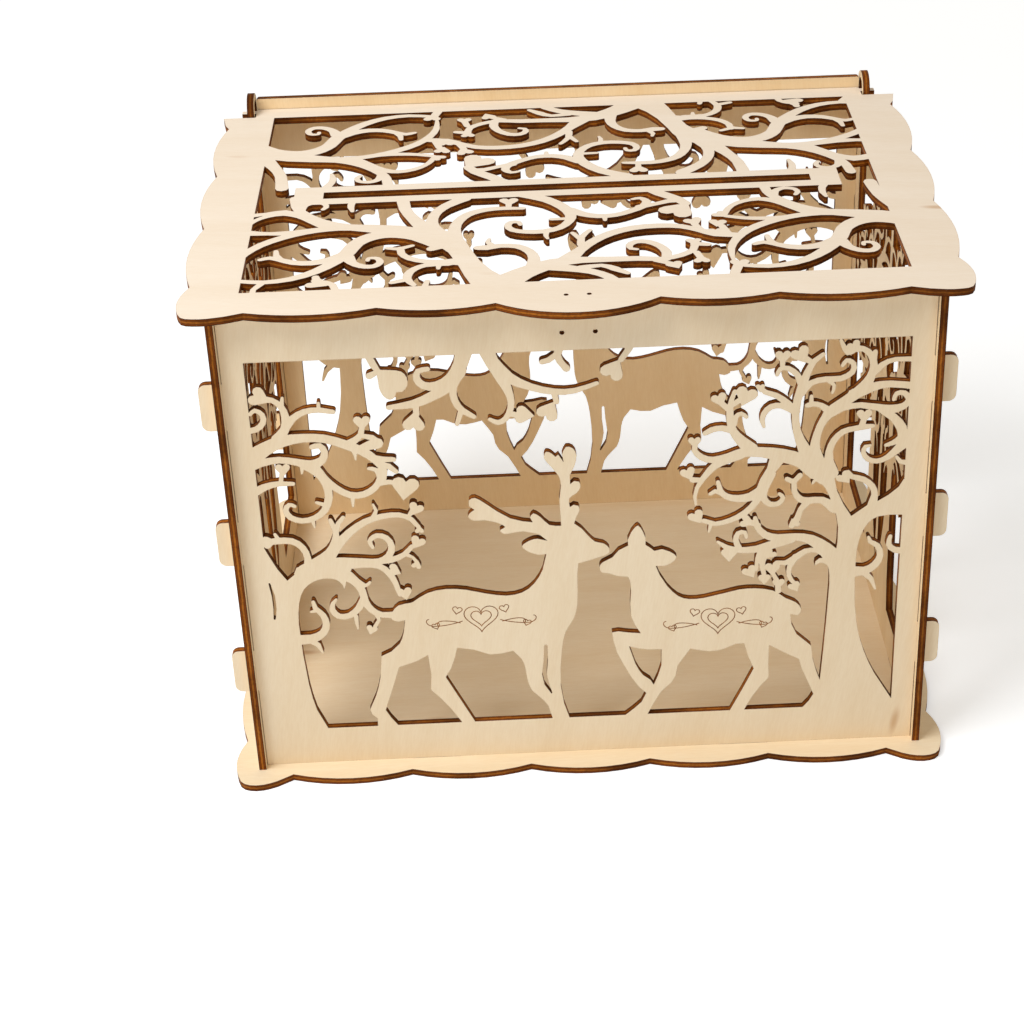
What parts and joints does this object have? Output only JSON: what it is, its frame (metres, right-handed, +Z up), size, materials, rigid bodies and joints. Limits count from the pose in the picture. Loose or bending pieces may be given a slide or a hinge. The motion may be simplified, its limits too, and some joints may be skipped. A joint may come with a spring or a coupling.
{
  "type": "wedding card box",
  "caption": "Flat-pack plywood card box: scalloped base, four pierced panels of deer and curling trees, and a pierced hinged lid with a long card slot.",
  "frame": {"origin": "centre of the bounding box's bottom face, on the base plate's underside", "axes": "+X to the right seen from the front, +Y from the front panel to the hinge at the back, +Z up"},
  "size_m": [0.2988, 0.2353, 0.2231],
  "materials": {
    "base_plate": "bare birch plywood with burnt cut edges",
    "front_panel": "bare birch plywood with burnt cut edges",
    "back_panel": "bare birch plywood with burnt cut edges",
    "left_side_panel": "bare birch plywood with burnt cut edges",
    "right_side_panel": "bare birch plywood with burnt cut edges",
    "lid": "bare birch plywood with burnt cut edges"
  },
  "bodies": {
    "box": {"base_plate": "base_plate", "front_panel": "front_panel", "back_panel": "back_panel", "left_side_panel": "left_side_panel", "right_side_panel": "right_side_panel"},
    "lid": {"lid": "lid"}
  },
  "joints": [
    {"name": "lid_hinge", "type": "hinge", "parent": "box", "child": "lid", "pos_m": [0, 0.0991, 0.215], "axis": [-1, 0, 0], "range_deg": [0, 100]}
  ]
}
